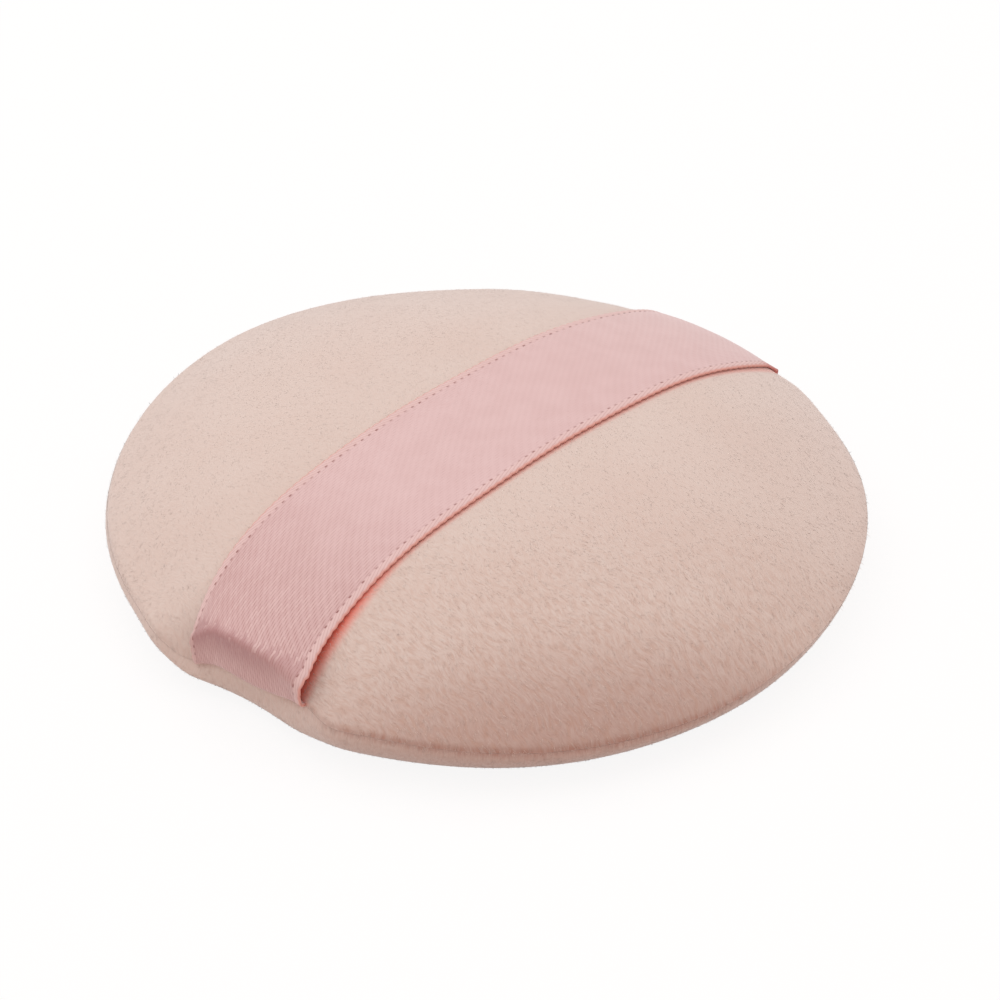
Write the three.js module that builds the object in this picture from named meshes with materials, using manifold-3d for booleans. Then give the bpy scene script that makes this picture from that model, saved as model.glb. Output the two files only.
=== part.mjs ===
// A sewn powder puff: two velour covers over a foam disc, joined by a turned rim seam
// that also holds the two ends of a satin finger ribbon.
// Millimetres, +Z up. The origin is under the middle of the puff, on the table it rests on,
// and the ribbon runs along X with its near end at -X.

import * as THREE from "three";
import { mergeVertices } from "three/addons/utils/BufferGeometryUtils.js";
import Module from "manifold-3d";

const wasm = await Module();
wasm.setup();

// Driving dimensions of the pad
const PUFF_DIAMETER = 80; // across the rim, over the pile
const SEAM_HEIGHT = 5.3; // middle of the rim seam above the table
const CROWN_RISE = 11.7; // top of the crown above the seam
const CROWN_POWER = 2.7; // 2 is a round cap, more is a flatter crown with a steeper edge
const BASE_ROLL = 9; // width of the rolled edge round the flat base
const RIM_ROUND = 0.8; // radius of each cover's edge where it turns into the seam
const COVER_THICKNESS = 2; // velour cloth with its pile
const SEAM_ALLOWANCE = 2.5; // how far the turned-in edge reaches past the inside of the top cover
const ALLOWANCE_THICKNESS = 1.2; // of the turned-in edge
const FOAM_EDGE_ROUND = 2; // radius of the foam disc's lower edge

// Driving dimensions of the ribbon
const RIBBON_WIDTH = 16;
const RIBBON_THICKNESS = 0.4;
const RIBBON_OFFSET = -1.2; // the ribbon's middle line, beside the middle of the puff
const NEAR_VEER = 2.4; // how much further to that side the near end is sewn in
const VEER_POWER = 4; // how late the ribbon starts to veer
const NEAR_INSET = 1.2; // of the fold where the ribbon turns down, in from its near tail
const FAR_INSET = 6; // the same at the far end
const NEAR_BRIDGE = 7; // clear run of the ribbon between the crown and its near fold
const FAR_BRIDGE = 4; // the same at the far end
const NEAR_FOLD = 0.8; // how rounded the near fold is, along the ribbon
const FAR_FOLD = 2.5; // the same at the far end
const RIM_RISE = 1.2; // of the ribbon's bend over the rim, above the widest line of the top cover
const RIM_BEND = 0.6; // how rounded that bend is
const SEAM_TURN = 0.7; // how rounded the ribbon's turn into the seam is
const TAIL_CAUGHT = 4; // length of ribbon held inside the seam

// Driving dimensions of the seam
const NEAR_PULL = 2.6; // how far the near end of the ribbon draws the rim in, at the seam
const FAR_PULL = 2.8; // the same at the far end
const PULL_HEIGHT = 4.2; // how far above and below the seam the cloth is drawn in
const PULL_MARGIN = 1.4; // how far the drawn-in stretch reaches past each edge of the ribbon
const PULL_FLATNESS = 4; // 2 is a round dip in the rim, more is a straighter one
const PULL_FADE = 3; // how soon the pull fades towards the middle of the puff
const THREAD_DIAMETER = 0.4;
const CLOSING_ANGLE = 90; // where the hand-closed gap is, in degrees from +X
const CLOSING_LENGTH = 28; // of the hand-closed gap, along the rim
const THREAD_END_GAP = 2; // along the rim, between the machine stitch and the hand stitch
const CLEARANCE = 0.3; // between pieces that touch on the real puff

// How finely round shapes are divided
const ROUND_STEPS = 54; // around the puff
const CROWN_STEPS = 6; // from the middle of the crown to its rim
const CORNER_STEPS = 3; // round a small corner or roll
const BAND_STEPS = 10; // along half of the ribbon, from the middle to where it leaves the crown
const THREAD_SIDES = 6;
const THREAD_STEP = 3.6; // along a thread

// Values that follow from the driving dimensions
const rimRadius = PUFF_DIAMETER / 2;
const halfGap = CLEARANCE / 2;
const edgeHeight = halfGap + RIM_ROUND;
const topSeamFace = SEAM_HEIGHT + halfGap;
const bottomSeamFace = SEAM_HEIGHT - halfGap;
const allowanceTop = topSeamFace + ALLOWANCE_THICKNESS;
const allowanceBottom = bottomSeamFace - ALLOWANCE_THICKNESS;
const crownBulge = CROWN_RISE - edgeHeight;
const flatRadius = rimRadius - BASE_ROLL;
const wedgeShare = 1 - (COVER_THICKNESS + allowanceTop - SEAM_HEIGHT - edgeHeight) / crownBulge;
const wedgeRadius = rimRadius * wedgeShare ** (1 / CROWN_POWER);
const allowanceRadius = wedgeRadius - SEAM_ALLOWANCE;
const stitchRadius = wedgeRadius - SEAM_ALLOWANCE / 2;
const grooveSize = THREAD_DIAMETER / 2 + CLEARANCE;
const UP = new THREE.Vector3(0, 0, 1);

// Outside of the top cover, by distance from the axis
function crownHeight(radius) {
  return SEAM_HEIGHT + edgeHeight + crownBulge * (1 - (radius / rimRadius) ** CROWN_POWER);
}

function crownSlope(radius) {
  return (-crownBulge * CROWN_POWER * (radius / rimRadius) ** (CROWN_POWER - 1)) / rimRadius;
}

// Points from the edge of a crown to its top, lowered by a depth. All crowns share the same
// stops, so that their flats stay parallel.
function crownLine(edge, depth) {
  const radii = [edge];
  for (let i = CROWN_STEPS; i >= 0; i -= 1) {
    const stop = (rimRadius * i) / CROWN_STEPS;
    if (stop < edge) {
      radii.push(stop);
    }
  }
  return radii.map((radius) => new THREE.Vector2(radius, crownHeight(radius) - depth));
}

// Points on a quarter of an ellipse, between two angles in quarter turns
function quarterLine(centreX, centreY, radiusX, radiusY, from, to) {
  const points = [];
  for (let i = 0; i <= CORNER_STEPS; i += 1) {
    const angle = (THREE.MathUtils.lerp(from, to, i / CORNER_STEPS) * Math.PI) / 2;
    points.push(
      new THREE.Vector2(centreX + radiusX * Math.cos(angle), centreY + radiusY * Math.sin(angle)),
    );
  }
  return points;
}

// The square groove that a sewing thread beds into, in an allowance's face
function threadGroove(faceHeight, floorHeight) {
  return [
    new THREE.Vector2(stitchRadius - grooveSize, faceHeight),
    new THREE.Vector2(stitchRadius - grooveSize, floorHeight),
    new THREE.Vector2(stitchRadius + grooveSize, floorHeight),
    new THREE.Vector2(stitchRadius + grooveSize, faceHeight),
  ];
}

// A ribbon end is turned about the axis, so that it lies square to its own radius
function ribbonEnd(side, offset, shape) {
  const turn = Math.asin((side * offset) / rimRadius);
  const outward = new THREE.Vector3(side, 0, 0).applyAxisAngle(UP, turn);
  return { side, turn, outward, ...shape };
}

const NEAR_END = ribbonEnd(-1, RIBBON_OFFSET - NEAR_VEER, {
  pull: NEAR_PULL,
  inset: NEAR_INSET,
  bridge: NEAR_BRIDGE,
  fold: NEAR_FOLD,
});
const FAR_END = ribbonEnd(1, RIBBON_OFFSET, {
  pull: FAR_PULL,
  inset: FAR_INSET,
  bridge: FAR_BRIDGE,
  fold: FAR_FOLD,
});

// Each ribbon end draws the rim in where it is sewn, most of all at the seam
function drawIn(point) {
  for (const end of [NEAR_END, FAR_END]) {
    const out = point.x * end.outward.x + point.y * end.outward.y;
    const beside = Math.abs(point.x * end.outward.y - point.y * end.outward.x);
    if (out > 0) {
      const across = (beside / (RIBBON_WIDTH / 2 + PULL_MARGIN)) ** PULL_FLATNESS;
      const above = ((point.z - SEAM_HEIGHT) / PULL_HEIGHT) ** 2;
      const fade = (Math.hypot(point.x, point.y) / rimRadius) ** PULL_FADE;
      const pull = end.pull * Math.exp(-across - above) * (out / rimRadius) * fade;
      point.addScaledVector(end.outward, -pull);
    }
  }
  return point;
}

// Merge the shared corners of a surface and drop the empty triangles on the axis
function closedSurface(geometry) {
  geometry.deleteAttribute("normal");
  geometry.deleteAttribute("uv");
  const merged = mergeVertices(geometry);
  const corners = merged.index.array;
  const kept = [];
  for (let i = 0; i < corners.length; i += 3) {
    const [a, b, c] = corners.slice(i, i + 3);
    if (a !== b && b !== c && c !== a) {
      kept.push(a, b, c);
    }
  }
  merged.setIndex(kept);
  return merged;
}

// Move each point of a surface by a function
function movePoints(geometry, move) {
  const places = geometry.attributes.position;
  const point = new THREE.Vector3();
  for (let i = 0; i < places.count; i += 1) {
    move(point.fromBufferAttribute(places, i));
    places.setXYZ(i, point.x, point.y, point.z);
  }
}

// A body of revolution about Z, drawn in at the ribbon's ends
function sewnRound(profile) {
  const turned = new THREE.LatheGeometry(profile, ROUND_STEPS).rotateX(Math.PI / 2);
  movePoints(turned, drawIn);
  return closedSurface(turned);
}

function solidOf(geometry) {
  const surface = closedSurface(geometry);
  return new wasm.Manifold(
    new wasm.Mesh({
      numProp: 3,
      vertProperties: new Float32Array(surface.attributes.position.array),
      triVerts: new Uint32Array(surface.index.array),
    }),
  );
}

function geometryOf(solid) {
  const mesh = solid.getMesh();
  const geometry = new THREE.BufferGeometry();
  geometry.setAttribute("position", new THREE.BufferAttribute(mesh.vertProperties, 3));
  geometry.setIndex(new THREE.BufferAttribute(mesh.triVerts, 1));
  geometry.computeVertexNormals();
  return geometry;
}

// The ribbon's middle line hangs just clear of the drawn-in rim, at its middle and its edges
const ribbonLift = CLEARANCE + RIBBON_THICKNESS / 2;

function tailReach(end) {
  const reaches = [0, RIBBON_WIDTH / 2].map((beside) => {
    const out = end.side * Math.sqrt(rimRadius ** 2 - beside ** 2);
    const rim = new THREE.Vector3(out, beside, SEAM_HEIGHT + edgeHeight);
    return drawIn(rim.applyAxisAngle(UP, end.turn)).dot(end.outward);
  });
  return Math.max(...reaches) + ribbonLift;
}

// Where the ribbon, running straight on from the crown, folds down
function foldCorner(end) {
  const fold = tailReach(end) - end.inset;
  const leaving = fold - end.bridge;
  const height = crownHeight(leaving) + ribbonLift + crownSlope(leaving) * end.bridge;
  return new THREE.Vector2(fold, height);
}

// Where it then bends over the rim
function rimCorner(end) {
  return new THREE.Vector2(tailReach(end), SEAM_HEIGHT + edgeHeight + RIM_RISE);
}

// A rounded corner between two straight runs
function roundedCorner(before, corner, after, size) {
  const start = corner.clone().add(before.clone().sub(corner).setLength(size));
  const end = corner.clone().add(after.clone().sub(corner).setLength(size));
  return new THREE.QuadraticBezierCurve(start, corner, end).getPoints(CORNER_STEPS);
}

// Side view of half the band, from the middle of the crown to the bend over the rim
function bandHalf(end) {
  const fold = foldCorner(end);
  const rim = rimCorner(end);
  const crown = [];
  for (let i = 0; i <= BAND_STEPS; i += 1) {
    const radius = ((fold.x - end.bridge) * i) / BAND_STEPS;
    crown.push(new THREE.Vector2(radius, crownHeight(radius) + ribbonLift));
  }
  const below = new THREE.Vector2(rim.x, SEAM_HEIGHT);
  return [
    ...crown,
    ...roundedCorner(crown.at(-1), fold, rim, end.fold),
    ...roundedCorner(fold, rim, below, RIM_BEND),
  ];
}

function bandLine() {
  const near = bandHalf(NEAR_END).slice(1);
  const mirrored = near.map((point) => new THREE.Vector2(-point.x, point.y));
  return [...mirrored.reverse(), ...bandHalf(FAR_END)];
}

// Side view of a tail, from below that bend into the seam
function tailLine(end) {
  const rim = rimCorner(end);
  const top = new THREE.Vector2(rim.x, rim.y - RIM_BEND - CLEARANCE);
  const corner = new THREE.Vector2(rim.x, SEAM_HEIGHT);
  const inside = new THREE.Vector2(rim.x - TAIL_CAUGHT, SEAM_HEIGHT);
  return [top, ...roundedCorner(top, corner, inside, SEAM_TURN), inside];
}

// A strip of ribbon: a line thickened to both sides and stretched across the ribbon's width
function ribbonStrip(line) {
  const left = [];
  const right = [];
  line.forEach((point, i) => {
    const before = line[Math.max(i - 1, 0)];
    const after = line[Math.min(i + 1, line.length - 1)];
    const along = after.clone().sub(before).normalize();
    const across = new THREE.Vector2(-along.y, along.x).multiplyScalar(RIBBON_THICKNESS / 2);
    left.push(point.clone().add(across));
    right.push(point.clone().sub(across));
  });
  const side = new THREE.Shape([...right, ...left.reverse()]);
  const strip = new THREE.ExtrudeGeometry(side, { depth: RIBBON_WIDTH, bevelEnabled: false });
  return strip.rotateX(Math.PI / 2).translate(0, RIBBON_WIDTH / 2, 0);
}

// The band runs straight over the crown and swings round to meet its sewn ends
function ribbonBand() {
  const strip = ribbonStrip(bandLine());
  movePoints(strip, (point) => {
    const end = point.x < 0 ? NEAR_END : FAR_END;
    const share = (Math.abs(point.x) / tailReach(end)) ** VEER_POWER;
    const swung = point.clone().applyAxisAngle(UP, end.turn);
    point.y += RIBBON_OFFSET;
    point.lerp(swung, share);
  });
  return closedSurface(strip);
}

function ribbonTail(end) {
  const strip = ribbonStrip(tailLine(end));
  if (end.side < 0) {
    strip.rotateZ(Math.PI);
  }
  return closedSurface(strip.rotateZ(end.turn));
}

// The slot that a ribbon tail passes through, between the two covers
function tailSlot(end) {
  const inner = tailReach(end) - TAIL_CAUGHT - CLEARANCE;
  const outer = rimRadius + RIM_ROUND;
  const slot = new THREE.BoxGeometry(
    outer - inner,
    RIBBON_WIDTH + 2 * CLEARANCE,
    RIBBON_THICKNESS + 2 * CLEARANCE,
  );
  slot.translate((end.side * (inner + outer)) / 2, 0, SEAM_HEIGHT);
  return solidOf(slot.rotateZ(end.turn));
}

function withTailSlots(cover) {
  return geometryOf(solidOf(cover).subtract(tailSlot(NEAR_END)).subtract(tailSlot(FAR_END)));
}

function topCover() {
  const edge = rimRadius - RIM_ROUND;
  const profile = [
    ...crownLine(rimRadius, 0).reverse(),
    ...quarterLine(edge, topSeamFace + RIM_ROUND, RIM_ROUND, RIM_ROUND, 0, -1).slice(1),
    new THREE.Vector2(allowanceRadius, topSeamFace),
    new THREE.Vector2(allowanceRadius, allowanceTop),
    ...threadGroove(allowanceTop, allowanceTop - grooveSize),
    ...crownLine(wedgeRadius, COVER_THICKNESS),
  ];
  return withTailSlots(sewnRound(profile.reverse()));
}

function bottomCover() {
  const edge = rimRadius - RIM_ROUND;
  const roll = bottomSeamFace - RIM_ROUND;
  const innerRoll = allowanceBottom - COVER_THICKNESS;
  const innerWidth = BASE_ROLL - COVER_THICKNESS;
  const profile = [
    new THREE.Vector2(0, 0),
    ...quarterLine(flatRadius, roll, BASE_ROLL, roll, -1, 0),
    ...quarterLine(edge, roll, RIM_ROUND, RIM_ROUND, 0, 1).slice(1),
    new THREE.Vector2(allowanceRadius, bottomSeamFace),
    new THREE.Vector2(allowanceRadius, allowanceBottom),
    ...threadGroove(allowanceBottom, allowanceBottom + grooveSize),
    ...quarterLine(flatRadius, allowanceBottom, innerWidth, innerRoll, 0, -1),
    new THREE.Vector2(0, COVER_THICKNESS),
  ];
  return withTailSlots(sewnRound(profile));
}

function foamCore() {
  const side = allowanceRadius - CLEARANCE;
  const floor = COVER_THICKNESS + CLEARANCE;
  const corner = side - FOAM_EDGE_ROUND;
  const profile = [
    new THREE.Vector2(0, floor),
    ...quarterLine(corner, floor + FOAM_EDGE_ROUND, FOAM_EDGE_ROUND, FOAM_EDGE_ROUND, -1, 0),
    ...crownLine(side, COVER_THICKNESS + CLEARANCE),
  ];
  return sewnRound(profile);
}

// A thread round the rim, which follows the drawn-in stretches
class RimCurve extends THREE.Curve {
  constructor(radius, height, from, to) {
    super();
    Object.assign(this, { radius, height, from, to });
  }

  getPoint(share, target = new THREE.Vector3()) {
    const angle = THREE.MathUtils.lerp(this.from, this.to, share);
    target.set(this.radius * Math.cos(angle), this.radius * Math.sin(angle), this.height);
    return drawIn(target);
  }
}

function rimThread(radius, height, from, to) {
  const round = new THREE.EllipseCurve(0, 0, THREAD_DIAMETER / 2, THREAD_DIAMETER / 2);
  const section = new THREE.Shape(round.getPoints(THREAD_SIDES).slice(0, THREAD_SIDES));
  const steps = Math.ceil(((to - from) * radius) / THREAD_STEP);
  const thread = new THREE.ExtrudeGeometry(section, {
    steps,
    extrudePath: new RimCurve(radius, height, from, to),
  });
  return closedSurface(thread);
}

const closingMiddle = THREE.MathUtils.degToRad(CLOSING_ANGLE);
const closingHalf = CLOSING_LENGTH / 2 / rimRadius;
const machineStart = closingMiddle + closingHalf + THREAD_END_GAP / rimRadius;
const machineEnd = closingMiddle - closingHalf - THREAD_END_GAP / rimRadius + 2 * Math.PI;

function machineThread(height) {
  return rimThread(stitchRadius, height, machineStart, machineEnd);
}

function closingThread() {
  const radius = rimRadius - THREAD_DIAMETER / 2;
  return rimThread(radius, SEAM_HEIGHT, closingMiddle - closingHalf, closingMiddle + closingHalf);
}

const puff = new THREE.Group();

function addPiece(name, geometry, finish) {
  const mesh = new THREE.Mesh(geometry, new THREE.MeshStandardMaterial(finish));
  mesh.name = name;
  puff.add(mesh);
}

const VELOUR = { color: 0xdec8bc, roughness: 0.95, metalness: 0 };
const FOAM = { color: 0xf2e8d0, roughness: 0.9, metalness: 0 };
const SATIN = { color: 0xe4c1bf, roughness: 0.4, metalness: 0 };
const THREAD = { color: 0xe3cdc4, roughness: 0.6, metalness: 0 };

addPiece("top_cover", topCover(), VELOUR);
addPiece("bottom_cover", bottomCover(), VELOUR);
addPiece("foam_core", foamCore(), FOAM);
addPiece("ribbon_band", ribbonBand(), SATIN);
addPiece("ribbon_tail_near", ribbonTail(NEAR_END), SATIN);
addPiece("ribbon_tail_far", ribbonTail(FAR_END), SATIN);
addPiece("seam_needle_thread", machineThread(allowanceTop), THREAD);
addPiece("seam_bobbin_thread", machineThread(allowanceBottom), THREAD);
addPiece("closing_stitch_thread", closingThread(), THREAD);

export default puff;
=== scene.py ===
# %% [markdown]
# A powder puff is a small sewn cushion: two round pieces of velour, a foam disc between them, and a satin
# ribbon across the crown that fingers slip under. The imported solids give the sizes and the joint, and
# this lesson makes the looks around them. Everything is in metres, in the frame of the solids.

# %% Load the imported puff
import math
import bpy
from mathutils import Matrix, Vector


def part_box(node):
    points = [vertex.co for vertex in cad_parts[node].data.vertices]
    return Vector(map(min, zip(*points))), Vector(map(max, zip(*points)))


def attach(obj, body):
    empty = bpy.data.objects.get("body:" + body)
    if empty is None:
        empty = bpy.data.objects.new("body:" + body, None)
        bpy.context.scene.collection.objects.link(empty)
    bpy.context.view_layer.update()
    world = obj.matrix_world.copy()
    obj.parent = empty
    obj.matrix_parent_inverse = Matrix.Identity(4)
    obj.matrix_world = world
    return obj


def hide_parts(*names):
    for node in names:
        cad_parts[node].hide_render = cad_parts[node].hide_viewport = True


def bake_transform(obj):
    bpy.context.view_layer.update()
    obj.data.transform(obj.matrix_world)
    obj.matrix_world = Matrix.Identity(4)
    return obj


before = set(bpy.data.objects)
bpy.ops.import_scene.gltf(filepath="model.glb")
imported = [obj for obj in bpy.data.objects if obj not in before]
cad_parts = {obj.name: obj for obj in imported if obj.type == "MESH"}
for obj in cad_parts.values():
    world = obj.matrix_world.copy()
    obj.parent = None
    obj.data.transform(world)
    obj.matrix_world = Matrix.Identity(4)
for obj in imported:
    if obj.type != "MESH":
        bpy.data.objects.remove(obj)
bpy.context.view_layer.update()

from types import SimpleNamespace

import bpy
import numpy as np
from mathutils import Matrix, Vector

MM = 0.001
print("solids:", sorted(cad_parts))

# %% [markdown]
# The camera comes first, because every later choice is judged through it. It was found by fitting the
# round outline and the ribbon's two edges. Angles and a distance are easier to read than a matrix, so the
# camera's axes are worked out from them: `back` points from the puff to the camera, and the roll turns
# the other two.

# %% Camera
CAMERA_AZIMUTH = math.radians(-46.40)
CAMERA_ELEVATION = math.radians(37.23)
CAMERA_ROLL = math.radians(1.02)
CAMERA_DISTANCE = 429.6 * MM
CAMERA_TARGET = Vector((0, 0, 5.6 * MM))
FOCAL_PIXELS = 4073.8
FRAME_PIXELS = 1000
MIDDLE_PIXEL = (485.7, 504.3)


def add_object(name, data):
    made = bpy.data.objects.new(name, data)
    bpy.context.scene.collection.objects.link(made)
    return made


def add_camera():
    level = math.cos(CAMERA_ELEVATION)
    back = Vector((
        math.sin(CAMERA_AZIMUTH) * level,
        -math.cos(CAMERA_AZIMUTH) * level,
        math.sin(CAMERA_ELEVATION),
    ))
    right = Vector((math.cos(CAMERA_AZIMUTH), math.sin(CAMERA_AZIMUTH), 0))
    up = back.cross(right)
    turned_right = right * math.cos(CAMERA_ROLL) + up * math.sin(CAMERA_ROLL)
    turned_up = back.cross(turned_right)
    lens = bpy.data.cameras.new("camera")
    lens.lens = lens.sensor_width * FOCAL_PIXELS / FRAME_PIXELS
    lens.shift_x = 0.5 - MIDDLE_PIXEL[0] / FRAME_PIXELS
    lens.shift_y = MIDDLE_PIXEL[1] / FRAME_PIXELS - 0.5
    lens.clip_start = CAMERA_DISTANCE / 10
    camera = add_object("camera", lens)
    camera.matrix_world = (
        Matrix.Translation(CAMERA_TARGET + back * CAMERA_DISTANCE)
        @ Matrix((turned_right, turned_up, back)).transposed().to_4x4()
    )
    bpy.context.scene.camera = camera
    return camera


camera = add_camera()
print("camera lens:", round(camera.data.lens, 1), "mm")

# %% [markdown]
# A shader is a little sum over the surface. Nodes placed by hand hide that sum, so this class wraps one
# socket and lets Python's own operators add the Math nodes. Its `node` method makes every other kind of
# node: first the settings, then the values or wires of its sockets. The short methods below it only save
# words.

# %% Shader sums
class Wire:
    """One output socket of a node tree, which can be used in sums."""

    def __init__(self, tree, socket):
        self.tree = tree
        self.socket = socket

    def node(self, kind, settings=None, values=None, output=0):
        made = self.tree.nodes.new(kind)
        for name, setting in (settings or {}).items():
            setattr(made, name, setting)
        for place, value in (values or {}).items():
            if isinstance(value, Wire):
                self.tree.links.new(value.socket, made.inputs[place])
            else:
                made.inputs[place].default_value = value
        return Wire(self.tree, made.outputs[output])

    def math(self, operation, first, second=0.0):
        return self.node("ShaderNodeMath", {"operation": operation}, {0: first, 1: second})

    def __add__(self, other):
        return self.math("ADD", self, other)

    def __radd__(self, other):
        return self.math("ADD", other, self)

    def __sub__(self, other):
        return self.math("SUBTRACT", self, other)

    def __rsub__(self, other):
        return self.math("SUBTRACT", other, self)

    def __mul__(self, other):
        return self.math("MULTIPLY", self, other)

    def __rmul__(self, other):
        return self.math("MULTIPLY", other, self)

    def __truediv__(self, other):
        return self.math("DIVIDE", self, other)

    def __rtruediv__(self, other):
        return self.math("DIVIDE", other, self)

    def __pow__(self, other):
        return self.math("POWER", self, other)

    def __rpow__(self, other):
        return self.math("POWER", other, self)

    def between(self, low, high):
        """0 below low, 1 above high, and a smooth step between them."""
        settings = {"interpolation_type": "SMOOTHSTEP"}
        return self.node("ShaderNodeMapRange", settings, {0: self, 1: low, 2: high})

    def tint(self, first, second):
        """A colour that goes from the first to the second as this value goes from 0 to 1."""
        settings = {"data_type": "RGBA"}
        return self.node("ShaderNodeMix", settings, {0: self, 6: first, 7: second}, output=2)

    def parts(self):
        """The x, y and z of this vector."""
        split = self.node("ShaderNodeSeparateXYZ", values={0: self}).socket.node
        return [Wire(self.tree, socket) for socket in split.outputs]

    def noise(self, scale, detail):
        """A soft noise from 0 to 1 at the places that this vector gives."""
        return self.node("ShaderNodeTexNoise", values={"Vector": self, "Scale": scale, "Detail": detail})


print("shader sums ready")

# %% [markdown]
# Every finish starts in the same way: one Principled shader with a few fixed values, and the place on the
# surface, from which the sums begin. Colours are written as they look on a screen, and relief comes from
# a height, so these helpers turn both into what the shader takes.

# %% Start of a finish
def srgb(red, green, blue):
    """A colour as it looks on a screen, from 0 to 255, in the linear numbers that shaders use."""
    shares = [channel / 255 for channel in (red, green, blue)]
    linear = [s / 12.92 if s <= 0.04045 else ((s + 0.055) / 1.055) ** 2.4 for s in shares]
    return (*linear, 1.0)


def new_finish(name, **constants):
    """A material with one Principled shader, and a wire from which its other nodes are made."""
    material = bpy.data.materials.new(name)
    material.use_nodes = True
    shader = material.node_tree.nodes["Principled BSDF"]
    for socket, value in constants.items():
        shader.inputs[socket.replace("_", " ")].default_value = value
    place = material.node_tree.nodes.new("ShaderNodeTexCoord").outputs["Object"]
    return material, shader, Wire(material.node_tree, place)


def feed(shader, socket, wire):
    wire.tree.links.new(wire.socket, shader.inputs[socket])


def emboss(shader, height, strength, depth):
    values = {"Height": height, "Strength": strength, "Distance": depth}
    feed(shader, "Normal", height.node("ShaderNodeBump", values=values))


print("middle grey of a screen in a shader:", round(srgb(128, 128, 128)[0], 3))

# %% [markdown]
# Cloth, pile and foam all follow one shape. The crown is a curve between a cone and a box: the distance
# from the middle and the height each have a power of their own, which gives a flat top and a soft rolled
# rim. Underneath, the cloth lies flat and rolls up to the seam in a quarter of an ellipse. A curve drawn by
# hand would do as well, but a formula can be read and keeps its shape at any size.

# %% The outline of the pad
CROWN_POWER = 2.5
RIM_POWER = 1.2
RIM_FULLNESS = 0.3 * MM
BASE_ROLL = 9 * MM
SEAM_GROOVE = 0.35 * MM
GROOVE_SPREAD = 0.5 * MM
SEAM_CROWDING = 1.6
PROFILE_STEPS = 2000
top_low, top_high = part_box("top_cover")
_, bottom_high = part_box("bottom_cover")
RIM_RADIUS = top_high.y + RIM_FULLNESS
SEAM_Z = (top_low.z + bottom_high.z) / 2
CROWN_Z = top_high.z


def even_steps(line, count, crowding=1.0):
    """The same line with its points spread evenly along it, or crowded towards its end."""
    gaps = np.linalg.norm(np.diff(line, axis=0), axis=1)
    along = np.concatenate([[0], np.cumsum(gaps)])
    stops = along[-1] * (1 - (1 - np.linspace(0, 1, count)) ** crowding)
    return np.stack([np.interp(stops, along, line[:, k]) for k in range(line.shape[1])], axis=1)


def groove(line):
    """The line with the small dent that the stitches make at the seam."""
    dent = SEAM_GROOVE * np.exp(-((line[:, 1] - SEAM_Z) / GROOVE_SPREAD) ** 2)
    return line - np.stack([dent, np.zeros(len(line))], axis=1)


def crown_height(share):
    """Height of the crown; the share is 0 in the middle and 1 at the seam."""
    return SEAM_Z + (CROWN_Z - SEAM_Z) * (1 - share) ** (1 / RIM_POWER)


def top_outline(count):
    """Distance from the axis and height, from the middle of the crown to the seam."""
    share = np.sin(np.linspace(0, math.pi / 2, PROFILE_STEPS)) ** 2
    radius = RIM_RADIUS * share ** (1 / CROWN_POWER)
    return even_steps(groove(np.stack([radius, crown_height(share)], axis=1)), count, SEAM_CROWDING)


def bottom_outline(count):
    """The same from the middle of the base to the seam."""
    angle = np.linspace(0, math.pi / 2, PROFILE_STEPS)
    radius = RIM_RADIUS - BASE_ROLL + BASE_ROLL * np.sin(angle)
    height = SEAM_Z * (1 - np.cos(angle))
    roll = groove(np.stack([radius, height], axis=1))
    return even_steps(np.concatenate([[[0, 0]], roll]), count, SEAM_CROWDING)


print("rim radius, seam and crown in mm:", [round(x / MM, 2) for x in (RIM_RADIUS, SEAM_Z, CROWN_Z)])

# %% [markdown]
# The ribbon's two ends are caught in the seam, and they differ: the near one went in askew, stands up in a
# fold and curls at one edge, and the far one just runs into the seam. A modeller could shape each by eye,
# but both have the same parts, so each end is a list of lengths that later functions read. Left, right,
# front and back are meant as the camera sees them.

# %% The sewn ends of the ribbon
RIBBON_WIDTH = 16 * MM
RIBBON_OFFSET = -0.5 * MM
NEAR_VEER = 2.9 * MM
FAR_VEER = 1.6 * MM


def ribbon_end(side, offset, **shape):
    """One sewn end: which way it lies from the middle, and the lengths that shape it."""
    turn = math.asin(side * offset / RIM_RADIUS)
    outward = side * np.array([math.cos(turn), math.sin(turn), 0])
    sideways = np.array([-math.sin(turn), math.cos(turn), 0])
    return SimpleNamespace(side=side, turn=turn, outward=outward, sideways=sideways, **shape)


NEAR_END = ribbon_end(
    -1, RIBBON_OFFSET - NEAR_VEER,
    pull=2.6 * MM, pull_above=3.6 * MM, pull_left=0, left_dip=2.2 * MM, right_lift=0.7 * MM, sag=0.8 * MM,
    left_pouch=0.8 * MM, right_pouch=0.6 * MM, notch=0.5 * MM,
    inset=-0.5 * MM, bridge=12 * MM, fold=0.6 * MM, right_round=1 * MM,
    spring=0.9 * MM, left_droop=2.9 * MM, right_droop=0.4 * MM, left_curl=1.2 * MM, right_curl=0,
)
FAR_END = ribbon_end(
    1, RIBBON_OFFSET + FAR_VEER,
    pull=2 * MM, pull_above=2 * MM, pull_left=2 * MM, left_dip=0, right_lift=0, sag=0,
    left_pouch=0.5 * MM, right_pouch=0.5 * MM, notch=0,
    inset=0, bridge=1 * MM, fold=0.8 * MM, right_round=0,
    spring=0, left_droop=0, right_droop=0, left_curl=0, right_curl=0.4 * MM,
)
print("ribbon ends turned by", [round(math.degrees(end.turn), 1) for end in (NEAR_END, FAR_END)], "degrees")

# %% [markdown]
# A sewn pad is neither quite flat nor quite round. Its rim stands a little higher at the sides, its front
# seam slants down to the right, and at the front right the rim is drawn in. Such small turns could be
# sculpted with a brush, but cloth, pile, foam and ribbon have to follow them alike, so a function moves
# the points of any of them.

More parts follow.
